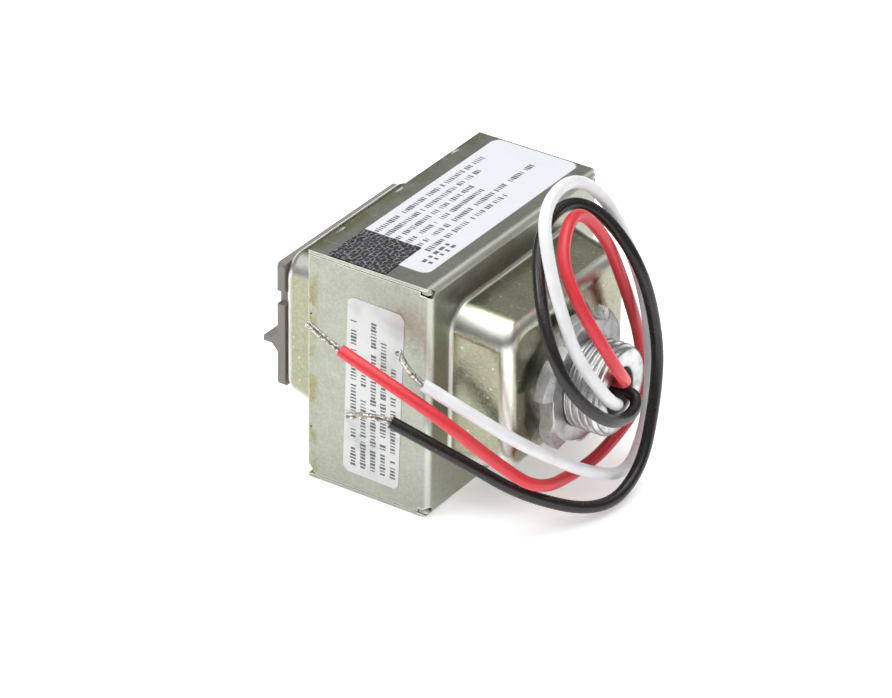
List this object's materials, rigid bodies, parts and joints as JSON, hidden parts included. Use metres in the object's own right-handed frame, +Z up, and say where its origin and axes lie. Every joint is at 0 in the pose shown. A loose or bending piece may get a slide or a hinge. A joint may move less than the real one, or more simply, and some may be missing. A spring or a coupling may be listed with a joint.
{
  "type": "control transformer",
  "caption": "Encased control transformer: folded sheet case with drawn domes, threaded conduit hub with a lugged locknut, free leads through the hub and a screw terminal board at the rear.",
  "frame": {"origin": "on the hub's axis, in the locknut's front face, which seats against the wall of a junction box", "axes": "+X out along the threaded hub, +Y along the case's length, +Z up, at right angles to the label wall"},
  "size_m": [0.087, 0.0796, 0.074],
  "materials": {
    "plated_sheet": "zinc plated, yellow-green passivated, satin to bright",
    "core_steel": "varnished laminations",
    "bobbin_plastic": "moulded nylon",
    "winding_copper": "enamelled wire",
    "coil_tape": "polyester tape",
    "zinc_casting": "die-cast zinc alloy",
    "board_plastic": "moulded, warm grey",
    "terminal_brass": "plated brass",
    "screw_steel": "zinc plated",
    "white_label": "white film label",
    "silver_label": "silvered film label",
    "dark_sticker": "dark film sticker",
    "white_insulation": "extruded insulation",
    "black_insulation": "extruded insulation",
    "red_insulation": "extruded insulation",
    "tinned_strands": "tinned copper strands"
  },
  "bodies": {
    "root": {"front_case": "plated_sheet", "rear_bell": "plated_sheet", "core_e_stack": "core_steel", "core_i_stack": "core_steel", "bobbin": "bobbin_plastic", "primary_winding": "winding_copper", "secondary_winding": "winding_copper", "primary_tape": "coil_tape", "secondary_tape": "coil_tape", "conduit_nipple": "zinc_casting", "hub_locknut": "zinc_casting", "terminal_board": "board_plastic", "upper_terminal_plate": "terminal_brass", "lower_terminal_plate": "terminal_brass", "upper_terminal_screw": "screw_steel", "lower_terminal_screw": "screw_steel", "left_board_rivet": "screw_steel", "right_board_rivet": "screw_steel", "top_label": "white_label", "side_label": "silver_label", "inspection_sticker": "dark_sticker", "white_lead": "white_insulation", "black_lead": "black_insulation", "red_lead": "red_insulation", "white_lead_strands": "tinned_strands", "black_lead_strands": "tinned_strands", "red_lead_strands": "tinned_strands"}
  },
  "joints": []
}
